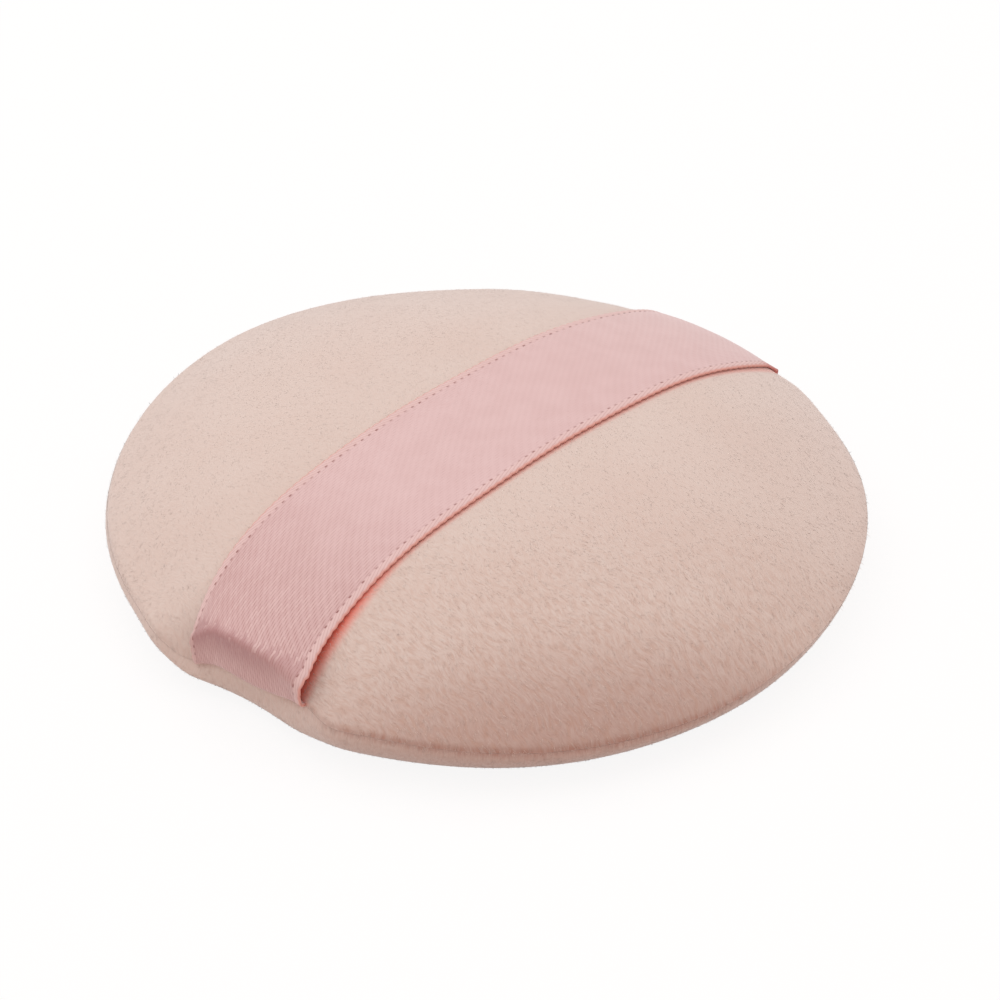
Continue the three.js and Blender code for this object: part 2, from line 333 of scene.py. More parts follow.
# %% Lean of the rim
FRONT = np.array([-0.72, -0.69])
SIDE = np.array([-0.69, 0.72])
FRONT_RISE = 0.9 * MM
FRONT_SLANT = 2.1 * MM
FRONT_REACH = 2.5 * MM
LEFT_RISE = 0.6 * MM
RIGHT_RISE = 1 * MM
QUARTER_RISE = 1.1 * MM
QUARTER_PULL = 0.4 * MM


def bump(distance, width):
    return np.exp(-((distance / width) ** 2))


def lean_rim(points, above_table):
    """Moves the points so that the rim stands higher or lower, or further in, from quarter to quarter."""
    aside, ahead = points[..., :2] @ SIDE / RIM_RADIUS, points[..., :2] @ FRONT / RIM_RADIUS
    left, right = np.maximum(aside, 0), np.maximum(-aside, 0)
    front, back = np.maximum(ahead, 0), np.maximum(-ahead, 0)
    points[..., :2] *= 1 - QUARTER_PULL / RIM_RADIUS * ((2 * right * front) ** 2)[..., None]
    rise = LEFT_RISE * left**2 + RIGHT_RISE * right**2 + QUARTER_RISE * (2 * left * back) ** 2
    slant = np.minimum(FRONT_SLANT * aside, FRONT_RISE) * front**2
    rise += slant * bump(points[..., 2] - SEAM_Z, FRONT_REACH)
    points[..., 2] += rise * above_table


seam_sides = np.array([(*RIM_RADIUS * way, SEAM_Z) for way in (FRONT, -FRONT, SIDE, -SIDE)])
lean_rim(seam_sides, 1)
print("seam at the front, back, left and right in mm:", np.round(seam_sides[:, 2] / MM, 1).tolist())

# %% [markdown]
# The pull of the ribbon draws the rim in at both ends. The cloth below has to go somewhere, so it pouches
# out beside the ribbon, and at the near end the seam sags and dips at its left corner. A sculptor would
# push each place by eye. Here both ends go through the same sum, with the lengths in their lists. The
# last function takes points of a plain round pad and gives back the points of the sewn one.

# %% Where the ribbon draws the rim in
PULL_BELOW = 3.4 * MM
PULL_MARGIN = 1.4 * MM
PULL_FLATNESS = 4
PULL_FADE = 3
BULGE_SHARE = 0.22
BULGE_WIDTH = 3 * MM
BULGE_PLACE = RIBBON_WIDTH / 2 + 1.2 * BULGE_WIDTH
POUCH_PLACE = 7 * MM
POUCH_WIDTH = 3 * MM
CORNER_WIDTH = 3 * MM
CORNER_REACH = 4 * MM
CORNER_FADE = 6


def from_axis(points):
    """Distances of the points from the upright axis of the puff."""
    return np.linalg.norm(points[..., :2], axis=-1)


def pull_end(points, above_table, end):
    """Moves points in under one end of the ribbon, out in the pouches beside it, and down at the seam."""
    out = np.maximum(points @ end.outward, 0)
    beside = points @ end.sideways
    above = points[..., 2] - SEAM_Z
    fade = (from_axis(points) / RIM_RADIUS) ** PULL_FADE * out / RIM_RADIUS
    across = ((beside - end.pull_left) / (RIBBON_WIDTH / 2 + PULL_MARGIN)) ** PULL_FLATNESS
    bulge = BULGE_SHARE * bump(np.abs(beside) - BULGE_PLACE, BULGE_WIDTH)
    held = (np.exp(-across) - bulge) * bump(above, np.where(above > 0, end.pull_above, PULL_BELOW))
    pouch = np.where(beside > 0, end.left_pouch, end.right_pouch)
    pouch = pouch * bump(np.abs(beside) - POUCH_PLACE, POUCH_WIDTH)
    pouch = pouch - end.notch * bump(beside, POUCH_PLACE / 2)
    push = pouch * np.sin(math.pi * above_table) - end.pull * held
    points += (push * fade)[..., None] * end.outward
    dip = end.left_dip * bump(beside - RIBBON_WIDTH / 2, CORNER_WIDTH)
    dip += end.sag * bump(beside, RIBBON_WIDTH / 2)
    dip -= end.right_lift * bump(beside + RIBBON_WIDTH / 2, CORNER_WIDTH)
    near_rim = (out / RIM_RADIUS) ** CORNER_FADE * bump(above, CORNER_REACH)
    points[..., 2] -= dip * near_rim * above_table


def draw_in(points):
    """Points of the sewn pad, from those of a plain round one."""
    points = np.array(points, float)
    above_table = np.clip(points[..., 2] / SEAM_Z, 0, 1)
    lean_rim(points, above_table)
    for end in (NEAR_END, FAR_END):
        pull_end(points, above_table, end)
    return points


drawn = draw_in([RIM_RADIUS * end.outward + (0, 0, SEAM_Z) for end in (NEAR_END, FAR_END)])
print("rim at the ribbon's ends in mm:", np.round(from_axis(drawn) / MM, 1).tolist())

# %% [markdown]
# A grid of points stands for each cover: rows run from the middle to the seam and columns run round the
# puff. Blender can spin an outline too, but later steps move every point by sums over the whole grid, and
# arrays make those easy. These helpers sweep an outline into a grid, find its normals and read it between
# its points.

# %% Grids swept round the puff
NOISE_WAVES = 16
WAVE_SPREAD = 2.2


def soft_noise(points, size, seed):
    """A smooth wave of no fixed pattern, from about -1 to 1, whose swells are about this size."""
    draw = np.random.default_rng(seed)
    waves = draw.normal(size=(NOISE_WAVES, 3)) * (WAVE_SPREAD / size)
    phases = draw.uniform(0, 2 * math.pi, NOISE_WAVES)
    return np.sin(points @ waves.T + phases).sum(axis=-1) / math.sqrt(NOISE_WAVES)


def turned(outline, columns):
    """The outline swept round the axis: rows by columns by three."""
    angle = np.linspace(0, 2 * math.pi, columns, endpoint=False)
    radius, height = outline[:, :1], outline[:, 1:]
    flat = np.stack([radius * np.cos(angle), radius * np.sin(angle)], axis=-1)
    tall = np.broadcast_to(height, flat.shape[:2])
    return np.concatenate([flat, tall[..., None]], axis=-1)


def unit(vectors):
    return vectors / np.maximum(np.linalg.norm(vectors, axis=-1, keepdims=True), 1e-12)


def grid_normals(grid, outside):
    """Normals of a grid; outside is 1 where they point up at the middle and -1 where they point down."""
    along = np.gradient(grid, axis=0)
    round_it = np.roll(grid, -1, axis=1) - np.roll(grid, 1, axis=1)
    normals = outside * np.cross(along, round_it)
    normals[0] = (0, 0, outside)
    return unit(normals)


def sample(grid, rows, columns):
    """Values of a grid at fractional rows and columns."""
    row = np.minimum(rows.astype(int), len(grid) - 2)
    column = columns.astype(int) % grid.shape[1]
    following = (column + 1) % grid.shape[1]
    down = (rows - row)[:, None]
    over = (columns - np.floor(columns))[:, None]
    near = grid[row, column] * (1 - over) + grid[row, following] * over
    far = grid[row + 1, column] * (1 - over) + grid[row + 1, following] * over
    return near * (1 - down) + far * down


print("an outline of 8 points swept in 12 columns:", turned(top_outline(8), 12).shape)

# %% [markdown]
# A mesh is points and faces. Most pieces here are rings of points, one after another, closed by a pole at
# each end, so the faces can be counted out instead of drawn: each square joins two neighbours on one ring
# to the two on the next.

# %% From points to a mesh
def mesh_piece(name, points, faces, materials):
    mesh = bpy.data.meshes.new(name)
    mesh.from_pydata(points, [], faces)
    for material in materials:
        mesh.materials.append(material)
    mesh.shade_smooth()
    return add_object(name, mesh)


def shell_piece(name, rings, first_pole, last_pole, outside, materials):
    """A closed body of rings between two poles on the axis."""
    points = np.concatenate([rings.reshape(-1, 3), [first_pole, last_pole]])
    number = np.arange(len(points) - 2).reshape(rings.shape[:2])
    after = np.roll(number, -1, axis=1)
    quads = np.stack([number[:-1], number[1:], after[1:], after[:-1]], axis=-1).reshape(-1, 4)
    pole = np.full(rings.shape[1], len(points) - 2)
    start = np.stack([pole, number[0], after[0]], axis=-1)
    end = np.stack([number[-1], pole + 1, after[-1]], axis=-1)
    faces = [face for part in (quads, start, end) for face in part.tolist()]
    if outside < 0:
        faces = [face[::-1] for face in faces]
    return mesh_piece(name, points.tolist(), faces, materials)


print("mesh tools ready")

# %% [markdown]
# Foam pushes the cloth out wherever nothing holds it, so a sewn cushion swells between its seams. That
# could be drawn by hand, but a cloth simulation finds it: air blows up a body of which some points are
# pinned, here those at the seam, on the base and under the ribbon. Only the moved points are kept, and
# the body goes.

# %% Air in a pinned body
SIM_FRAMES = 20
AIR_PRESSURE = 4
HELD_MARGIN = 3 * MM
BASE_FREEDOM = 3


def held_share(grid):
    """1 where the cloth is pinned: at the seam, on the table and under the ribbon."""
    from_seam = np.linalg.norm(grid - grid[-1], axis=-1)
    from_ribbon = np.abs(grid[..., 1] - RIBBON_OFFSET) - RIBBON_WIDTH / 2
    room = np.minimum(from_seam, np.where(grid[..., 2] > SEAM_Z, from_ribbon, BASE_FREEDOM * grid[..., 2]))
    return 1 - np.clip(room / HELD_MARGIN, 0, 1)


def blow_up(body, pinned):
    """Points of the body after the simulation, which leaves with its body."""
    group = body.vertex_groups.new(name="pinned")
    for number, share in enumerate(pinned.tolist()):
        group.add([number], share, "REPLACE")
    cloth = body.modifiers.new("air", "CLOTH").settings
    cloth.vertex_group_mass = group.name
    cloth.use_pressure = True
    cloth.uniform_pressure_force = AIR_PRESSURE
    cloth.effector_weights.gravity = 0
    for number in range(1, SIM_FRAMES + 1):
        bpy.context.scene.frame_set(number)
    mesh = body.evaluated_get(bpy.context.evaluated_depsgraph_get()).data
    points = np.zeros((len(mesh.vertices), 3), np.float32)
    mesh.vertices.foreach_get("co", points.ravel())
    bpy.data.objects.remove(body)
    bpy.context.scene.frame_set(1)
    return points


print("frames of the simulation:", SIM_FRAMES)

# %% [markdown]
# The body is a coarse copy of both covers, joined at the seam, and starts a little too tight. The solver
# is at home with things the size of furniture, so the copy is 25 times as large. A swelling is smooth, so
# few points are enough to find it. What is kept is the way out of each point, for the finer grids.

# %% Swelling of the stuffed covers
SIM_ROWS = 33
SIM_COLUMNS = 96
SIM_SCALE = 25
TIGHTNESS = 0.4 * MM
SWELL_LIMIT = 0.5 * MM


def swelling():
    """How far the cloth of the top and of the bottom cover moves out, on two coarse grids."""
    top = draw_in(turned(even_steps(top_outline(PROFILE_STEPS), SIM_ROWS), SIM_COLUMNS))
    bottom = draw_in(turned(even_steps(bottom_outline(PROFILE_STEPS), SIM_ROWS), SIM_COLUMNS))
    free = 1 - held_share(top), 1 - held_share(bottom)
    normals = grid_normals(top, 1), grid_normals(bottom, -1)
    tight_top = top - normals[0] * (TIGHTNESS * free[0])[..., None]
    rings = np.concatenate([tight_top[1:], bottom[-2:0:-1]]) * SIM_SCALE
    body = shell_piece("stuffed_copy", rings, top[0, 0] * SIM_SCALE, bottom[0, 0] * SIM_SCALE, 1, [])
    pinned = 1 - np.concatenate([free[0][1:].ravel(), free[1][-2:0:-1].ravel(), [0, 0]])
    moved = blow_up(body, pinned)[:-2].reshape(rings.shape) / SIM_SCALE
    ways_top = np.concatenate([top[:1], moved[:SIM_ROWS - 1]]) - top
    ways_bottom = np.concatenate([bottom[:1], moved[:SIM_ROWS - 3:-1]]) - bottom
    out = [(ways * normal).sum(axis=-1) for ways, normal in zip((ways_top, ways_bottom), normals)]
    return [np.clip(way, -SWELL_LIMIT, SWELL_LIMIT) * share for way, share in zip(out, free)]


top_swell, bottom_swell = swelling()
for name, swell in (("top", top_swell), ("bottom", bottom_swell)):
    measures = (swell.min(), swell.mean(), swell.max())
    print(name, "swelling in mm:", [round(float(way) / MM, 2) for way in measures])

# %% [markdown]
# Now the fine grids. Each is where the pile ends; the cloth itself lies a pile's depth below, so its
# points will step back along the normals. The swelling is read off the coarse grid and smoothed, and a
# slow seeded wave keeps the surface from being as perfect as a turned part. At the right the pile lies
# over the stitches, so the groove of the seam is filled there.

# %% Grids for the two covers
COLUMNS = 288
COVER_ROWS = 72
PILE_DEPTH = 0.15 * MM
UNEVENNESS = 0.12 * MM
UNEVEN_SIZE = 14 * MM
TABLE_CALM = 0.5 * MM
TABLE_RISE = 3 * MM
SEAM_CALM = 2 * MM
SMOOTHING = 8
PLAIN_RIM = np.array([0.375, -0.925])
PLAIN_START = 0.72
PLAIN_FULL = 0.9


def close_groove(points):
    """The same points without the dent of the seam at the right."""
    radius = np.maximum(from_axis(points), MM)
    facing = points[..., :2] @ PLAIN_RIM / radius
    share = np.clip((facing - PLAIN_START) / (PLAIN_FULL - PLAIN_START), 0, 1)
    stretch = 1 + share * SEAM_GROOVE * bump(points[..., 2] - SEAM_Z, GROOVE_SPREAD) / radius
    return np.concatenate([points[..., :2] * stretch[..., None], points[..., 2:]], axis=-1)


def on_fine_grid(swell):
    share = 1 - (1 - np.linspace(0, 1, COVER_ROWS)) ** SEAM_CROWDING
    columns = np.arange(COLUMNS) * (SIM_COLUMNS / COLUMNS)
    row, column = np.meshgrid(share * (SIM_ROWS - 1), columns, indexing="ij")
    fine = sample(swell[..., None], row.ravel(), column.ravel()).reshape(row.shape)
    for _ in range(SMOOTHING):
        fine = (np.roll(fine, 1, axis=1) + 2 * fine + np.roll(fine, -1, axis=1)) / 4
        longer = np.pad(fine, ((1, 1), (0, 0)), "edge")
        fine = (longer[:-2] + 2 * fine + longer[2:]) / 4
    return fine


def cover_grid(outline, outside, swell, seed):
    grid = draw_in(close_groove(turned(outline, COLUMNS)))
    wave = soft_noise(grid, UNEVEN_SIZE, seed) * UNEVENNESS
    calm = np.clip((grid[..., 2] - TABLE_CALM) / TABLE_RISE, 0, 1)
    calm = calm * np.clip(np.abs(grid[..., 2] - grid[-1, :, 2]) / SEAM_CALM, 0, 1)
    normals = grid_normals(grid, outside)
    return grid + normals * (wave * calm + on_fine_grid(swell))[..., None]


top_grid = cover_grid(top_outline(COVER_ROWS), 1, top_swell, 11)
bottom_grid = cover_grid(bottom_outline(COVER_ROWS), -1, bottom_swell, 12)
top_normals = grid_normals(top_grid, 1)
bottom_normals = grid_normals(bottom_grid, -1)
print("points in the cover grids:", top_grid[..., 0].size, bottom_grid[..., 0].size)

# %% [markdown]
# The ribbon will lie on the top cover, so its maker has to know how high the cover is at any place.
# Blender could cast rays at the mesh, but the grid already holds the answer: its heights go into a table
# by direction and distance, and a place is read between the table's entries.

# %% Height of the top cover
HEIGHT_STEPS = 400


def height_table(grid):
    """Heights of the top cover at even steps out from the middle, one row for each column of the grid."""
    steps = np.linspace(0, RIM_RADIUS, HEIGHT_STEPS)
    radius = np.maximum.accumulate(from_axis(grid), axis=0)
    return np.stack([np.interp(steps, radius[:, k], grid[:, k, 2]) for k in range(COLUMNS)])


def pad_height(x, y):
    """Height of the top cover at these places."""
    step = np.minimum(np.hypot(x, y) / RIM_RADIUS, 1) * (HEIGHT_STEPS - 1)
    column = np.arctan2(y, x) / (2 * math.pi) * COLUMNS
    low_step = np.minimum(step.astype(int), HEIGHT_STEPS - 2)
    low_column = np.floor(column).astype(int)
    down, over = step - low_step, column - low_column
    return sum(
        share * over_share * top_heights[(low_column + right) % COLUMNS, low_step + below]
        for below, share in ((0, 1 - down), (1, down))
        for right, over_share in ((0, 1 - over), (1, over))
    )


top_heights = height_table(top_grid)
print("crown in mm:", round(float(top_heights.max()) / MM, 2))

# %% [markdown]
# Velour is brushed, and its look follows the brush: one way over the crown, outward underneath. A
# photograph of cloth could be wrapped on, but noise has no edges and no fixed size. So a noise is read in
# two coordinates, across and along the pile, with a longer measure along it, which draws the noise out
# into streaks.

# %% Brushing of the velour
STREAK_WIDTH = 0.17 * MM
STREAK_LENGTH = 0.8 * MM
LOCK_WIDTH = 0.4 * MM
LOCK_LENGTH = 1.3 * MM


def brushed_one_way(place):
    """Coordinates across and along a pile that is brushed towards -Y, with slow swirls."""
    x, y, _ = place.parts()
    return x + place.noise(40.0, 1.0) * (5 * MM) + place.noise(280.0, 1.0) * (2 * MM), y


def brushed_outward(place):
    """The same for a pile that is brushed out from the middle and up to the seam."""
    x, y, z = place.parts()
    angle = y.math("ARCTAN2", y, x)
    return angle * RIM_RADIUS, (x * x + y * y) ** 0.5 + z


def combed(place, brushed, width, length):
    """A noise drawn out along the pile."""
    across, along = brushed(place)
    values = {0: across / width, 1: along / length}
    return place.node("ShaderNodeCombineXYZ", values=values).noise(1.0, 2.0)


stretches = STREAK_LENGTH / STREAK_WIDTH, LOCK_LENGTH / LOCK_WIDTH
print("length over width of streaks and locks:", [round(stretch, 1) for stretch in stretches])

# %% [markdown]
# Brushed velour is pale where its fibres lie flat and deeper where they part. So two drawn-out noises lie
# over each other: fine streaks everywhere, and wider locks. On the front, which faces away from the lamp,
# painted shade goes over them: the streaks grow stronger, the colour deepens low down, and the locks turn
# tan. Painted shade also leaves a rosy band at the front seam, and a coral strip of painted shade, as if
# lit through the satin, lies under the ribbon's right edge. The distance from the seam comes with the
# cloth: above zero on the crown, below zero on the base.

# %% Finish of the velour
VELOUR_PALE = srgb(224, 204, 194)
VELOUR_DEEP = srgb(216, 187, 174)
# Painted shade for the front, which faces away from the lamp: a deep tone, a tan and a rose.
VELOUR_FRONT_SHADE = srgb(184, 147, 135)
VELOUR_TAN_SHADE = srgb(190, 144, 122)
SEAM_ROSE_SHADE = srgb(172, 118, 102)
# Painted shade under the ribbon's right edge, coral as if lit through the satin.
RIBBON_GAP_SHADE = srgb(236, 98, 74)
# The way the front faces, away from the lamp, where shade is painted on the velour and the pile.
SHADY = np.array([-0.56, -0.83])
VEER_POWER = 6


def ribbon_gap_shade(x, y, above_seam):
    """Painted shade, coral as if lit through the satin: 1 in a narrow strip along the ribbon's right edge,
    most of all where it stands off the pad.
    """
    swung = (x.math("ABSOLUTE", x) / RIM_RADIUS) ** (VEER_POWER + 1)
    veer = swung * (x.between(-MM, MM) * (FAR_VEER + NEAR_VEER) - NEAR_VEER)
    from_edge = RIBBON_OFFSET - RIBBON_WIDTH / 2 + veer - y
    near = (x * -1).between(18 * MM, 32 * MM)
    width = near * (1.2 * MM) + 0.6 * MM
    strip = from_edge.between(-3 * MM, -MM) * (1 - from_edge.between(-0.1 * MM, width))
    return strip * (0.4 + near * 0.55) * above_seam.between(0.0, 0.1 * MM)


def velour(name, brushed):
    material, shader, place = new_finish(name, Roughness=0.95, Sheen_Weight=0.6)
    streaks = combed(place, brushed, STREAK_WIDTH, STREAK_LENGTH)
    locks = combed(place, brushed, LOCK_WIDTH, LOCK_LENGTH).between(0.42, 0.68)
    x, y, _ = place.parts()
    shady = x * SHADY[0] + y * SHADY[1]
    above_seam = place.node("ShaderNodeAttribute", {"attribute_name": "from_seam"}, output="Fac")
    crown = above_seam.between(0.0, 0.1 * MM)
    # Painted shade: the streaks grow stronger towards the front, away from the lamp.
    contrast = 0.3 + shady.between(0.0, 38 * MM) * 0.4
    shade = streaks.between(0.25, 0.75) * contrast + place.noise(90.0, 3.0).between(0.3, 0.7) * 0.2
    # Painted shade: a deeper colour low on the front, which faces away from the lamp.
    front_shade = shady.between(27 * MM, 40 * MM) * (0.5 + streaks * 0.6) * (0.75 + crown * 0.25)
    cloth = front_shade.tint(shade.tint(VELOUR_PALE, VELOUR_DEEP), VELOUR_FRONT_SHADE)
    # Painted shade: a tan in the locks on the front, away from the lamp.
    shaded_locks = locks * shady.between(10 * MM, 36 * MM)
    cloth = (shaded_locks * crown * 0.32).tint(cloth, VELOUR_TAN_SHADE)
    from_seam = above_seam.math("ABSOLUTE", above_seam)
    # Painted shade: a rosy band along the seam on the front, away from the lamp.
    seam_shade = (1 - from_seam.between(0.1 * MM, 0.8 * MM)) * shady.between(28 * MM, 38 * MM)
    with_seam_shade = (seam_shade * (0.15 + streaks * 0.35 + locks * 0.3)).tint(cloth, SEAM_ROSE_SHADE)
    # Painted shade under the ribbon's right edge.
    feed(shader, "Base Color", ribbon_gap_shade(x, y, above_seam).tint(with_seam_shade, RIBBON_GAP_SHADE))
    emboss(shader, streaks - shaded_locks, 0.25, 0.2 * MM)
    return material


top_velour = velour("velour_brushed_one_way", brushed_one_way)
bottom_velour = velour("velour_brushed_outward", brushed_outward)
print("nodes in the velour of the top cover:", len(top_velour.node_tree.nodes))

# %% [markdown]
# Each cover is a closed shell of cloth: an outside, an inside, and an edge that turns in at the seam. A
# modifier could thicken a single sheet, but the turned-in edge would still be missing, so the rings of
# the shell are listed from the outside to the inside. Every point keeps its distance from the seam for
# the finish.

# %% Covers of cloth
CLOTH_THICKNESS = 0.8 * MM
ALLOWANCE = 6 * MM
SEAM_HALF_GAP = 0.004 * MM
RIM_FOLD = 1.4 * MM


def cover_piece(name, grid, normals, outside, materials):
    cloth = grid - normals * PILE_DEPTH
    seam_z = grid[-1, :, 2] + outside * SEAM_HALF_GAP
    cloth[..., 2] = outside * np.maximum(outside * cloth[..., 2], outside * seam_z)
    inner = cloth[:-1] - normals[:-1] * CLOTH_THICKNESS
    floor = seam_z + outside * CLOTH_THICKNESS
    inner[..., 2] = outside * np.maximum(outside * inner[..., 2], outside * floor)
    edge = cloth[-1]
    reach = from_axis(edge)[:, None]
    inner_reach = np.maximum(from_axis(inner)[..., None], MM)
    inner[..., :2] *= np.minimum((reach - RIM_FOLD) / inner_reach, 1)
    turned_in = np.column_stack([edge[:, :2] * ((reach - ALLOWANCE) / reach), seam_z])
    turned_back = turned_in + (0, 0, outside * CLOTH_THICKNESS)
    rings = np.concatenate([cloth[1:], [turned_in, turned_back], inner[:0:-1]])
    piece = shell_piece(name, rings, cloth[0, 0], inner[0, 0], outside, materials)
    from_seam = np.linalg.norm(rings - edge, axis=-1).ravel()
    from_seam = outside * np.append(from_seam, [RIM_RADIUS, RIM_RADIUS])
    layer = piece.data.attributes.new("from_seam", "FLOAT", "POINT")
    layer.data.foreach_set("value", from_seam.astype(np.float32))
    return piece


top_cloth = cover_piece("top_cover_cloth", top_grid, top_normals, 1, [top_velour])
bottom_cloth = cover_piece("bottom_cover_cloth", bottom_grid, bottom_normals, -1, [bottom_velour])
for cloth_piece, node in ((top_cloth, "top_cover"), (bottom_cloth, "bottom_cover")):
    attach(cloth_piece, "pad")
    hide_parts(node)
    print(cloth_piece.name, len(cloth_piece.data.polygons), "faces")

# %% [markdown]
# Velour is a pile of short cut fibres. Blender's hair would do for a picture, but hair isn't part of an
# exported mesh, so each fibre here is a thin closed spike: two points at the sides of its root, a ridge
# above them, and a tip. The fibres come in a few shades of one dye, because no two take it alike, and
# the deeper shades also serve as painted shade on the front.

# %% Fibres of the pile
FIBRE_WIDTH = 0.05 * MM
RIDGE_SHARE = 0.4
FIBRE_TILT = 0.1


def pile_tones():
    """A few shades of one dye, pale to deep; the deeper ones also serve as painted shade on the front."""
    shades = ((236, 217, 208), (231, 210, 200), (224, 200, 189), (214, 186, 174), (204, 172, 160))
    shine = {"Roughness": 0.85, "Sheen_Weight": 0.35, "Sheen_Roughness": 0.4, "Specular_IOR_Level": 0.2}
    tones = []
    for number, shade in enumerate(shades, 1):
        material, shader, place = new_finish(f"velour_fibre_{number}", **shine)
        pale, deep = (srgb(*(channel + change for channel in shade)) for change in (5, -6))
        feed(shader, "Base Color", place.noise(900.0, 1.0).between(0.3, 0.7).tint(pale, deep))
        tones.append(material)
    return tones


def spikes(roots, tips, up, width, draw):
    """The four points of one spike for each root and tip."""
    lean = unit(tips - roots)
    tilted = up + draw.normal(size=roots.shape) * FIBRE_TILT
    aside = unit(np.cross(lean, tilted))
    ridge = np.cross(aside, lean) * RIDGE_SHARE
    half = width[:, None] / 2
    return np.stack([roots - aside * half, roots + aside * half, roots + ridge * half, tips], axis=1)


def spike_piece(name, points, normals, tone, materials):
    """All spikes as one mesh, lit as if they were the cloth below them."""
    corner = np.array([[0, 1, 2], [0, 3, 1], [1, 3, 2], [2, 3, 0]])
    faces = (np.arange(len(points))[:, None, None] * 4 + corner).reshape(-1, 3)
    piece = mesh_piece(name, points.reshape(-1, 3).tolist(), faces.tolist(), materials)
    piece.data.polygons.foreach_set("material_index", np.repeat(tone, 4).astype(np.int32))
    piece.data.normals_split_custom_set_from_vertices(np.repeat(normals, 4, axis=0))
    return piece


tones = pile_tones()
print("shades of the pile:", [tone.name for tone in tones])

# %% [markdown]
# A hand strokes the pile one way on the crown. Near the rim and underneath it lies outward, and swirls
# break it up everywhere. Hair could be combed like that with a brush in the viewport. Here the way of
# each fibre is a sum: the nap turned by two soft waves, blended into the way out, and laid flat on the
# cloth.

# %% Lie of the pile
NAP = np.array([0.1, -1.0, 0.0])
SWIRL_SIZE = 16 * MM
RUFFLE_SIZE = 4 * MM
RIM_OUTWARD = 0.65
BASE_OUTWARD = 0.85


def spots_on(grid, count, draw):
    """Rows and columns, with fractions, of spots spread evenly over a grid."""
    rings = np.linalg.norm(np.roll(grid, -1, axis=1) - grid, axis=-1).sum(axis=1)
    steps = np.linalg.norm(np.diff(grid, axis=0), axis=-1).mean(axis=1)
    area = np.concatenate([[0], np.cumsum((rings[1:] + rings[:-1]) / 2 * steps)])
    rows = np.interp(draw.uniform(0, area[-1], count), area, np.arange(len(area)))
    return rows, draw.uniform(0, COLUMNS, count)


def on_surface(way, normals):
    return unit(way - normals * (way * normals).sum(axis=1, keepdims=True))


def nap_direction(roots, normals, outside, seed):
    """The way the pile lies: brushed one way on the crown, outward at the rim and underneath."""
    swirl = soft_noise(roots, SWIRL_SIZE, seed) * 0.5 + soft_noise(roots, RUFFLE_SIZE, seed + 1) * 0.35
    cos, sin = np.cos(swirl)[:, None], np.sin(swirl)[:, None]
    nap = unit(NAP)
    brushed = cos * nap + sin * np.array([-nap[1], nap[0], 0])
    outward = unit(roots * (1, 1, 0)) - (0, 0, outside)
    rim = np.clip(from_axis(roots) / RIM_RADIUS, 0, 1)[:, None]
    share = RIM_OUTWARD * rim**4 if outside > 0 else BASE_OUTWARD
    return on_surface(brushed * (1 - share) + outward * share, normals)


print("nap of the crown:", np.round(unit(NAP), 2).tolist())

# %% [markdown]
# Now the fibres grow, all of a cover at once as arrays: a root on the cloth, a lean along the nap, and a
# little scatter, drawn from a seeded generator so that every run gives the same puff. They lie almost
# flush on the crown, and stand up more at the rim, where the cloth turns, and on the front, where deeper
# shades give them painted shade.

# %% Pile of the covers
TOP_FIBRES = 26000
BOTTOM_FIBRES = 20000
FIBRE_LEAN = 0.65 * MM
FIBRE_SCATTER = 0.45
FRONT_DISTANCE = 40 * MM
FLUSH_SHARE = 0.2
# How many shades deeper the fibres turn towards the front, as painted shade.
SHADED_FRONT_TONES = 2.4
MIXED_TONES = 2.2


def grow_pile(name, grid, normals, outside, fibres, seed):
    draw = np.random.default_rng(seed)
    rows, columns = spots_on(grid, fibres, draw)
    order = np.argsort(columns, kind="stable")
    rows, columns = rows[order], columns[order]
    up = unit(sample(normals, rows, columns))
    roots = sample(grid, rows, columns) - up * (PILE_DEPTH + FIBRE_WIDTH / 2)
    way = nap_direction(roots, up, outside, seed)
    way = on_surface(way + draw.normal(size=roots.shape) * FIBRE_SCATTER, up)
    front = np.clip(roots[:, :2] @ SHADY / FRONT_DISTANCE, 0, 1)
    rim = np.clip(from_axis(roots) / RIM_RADIUS, 0, 1) ** 8
    standing = FLUSH_SHARE + (1 - FLUSH_SHARE) * np.maximum(rim, front / 2)
    height = FIBRE_WIDTH + PILE_DEPTH * draw.uniform(0, 1, fibres) * standing
    lean = FIBRE_LEAN * draw.uniform(0.6, 1.2, fibres)
    tips = roots + up * height[:, None] + way * lean[:, None]
    tips[:, 2] = np.maximum(tips[:, 2], FIBRE_WIDTH)
    points = spikes(roots, tips, up, FIBRE_WIDTH * draw.uniform(0.7, 1.2, fibres), draw)
    # Painted shade: deeper tones towards the front, away from the lamp; the rest of the mix is random.
    tone = front * SHADED_FRONT_TONES + draw.uniform(0, MIXED_TONES, fibres)
    tone = np.minimum(tone, len(tones) - 1).astype(int)
    piece = spike_piece(name, points, up, tone, tones)
    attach(piece, "pad")
    print(name, fibres, "fibres")


grow_pile("top_cover_pile_1", top_grid, top_normals, 1, TOP_FIBRES, 21)
grow_pile("bottom_cover_pile_1", bottom_grid, bottom_normals, -1, BOTTOM_FIBRES, 31)

# %% [markdown]
# The ribbon is one length of satin. It lies straight on the crown, and towards its ends it swings round a
# little, to where it was sewn in. There an edge may curl under, which takes up some of its width. Bones
# could bend a flat strip like that, but a share along the ribbon is simpler: it blends the straight place
# of a point into the swung one.

# %% Swing of the ribbon
def curled(end, y):
    """The place across the ribbon at its sewn end, where one edge curls under and takes up some width."""
    edge = (y / (RIBBON_WIDTH / 2)) ** 4
    return y - end.left_curl * edge if y > 0 else y + end.right_curl * edge


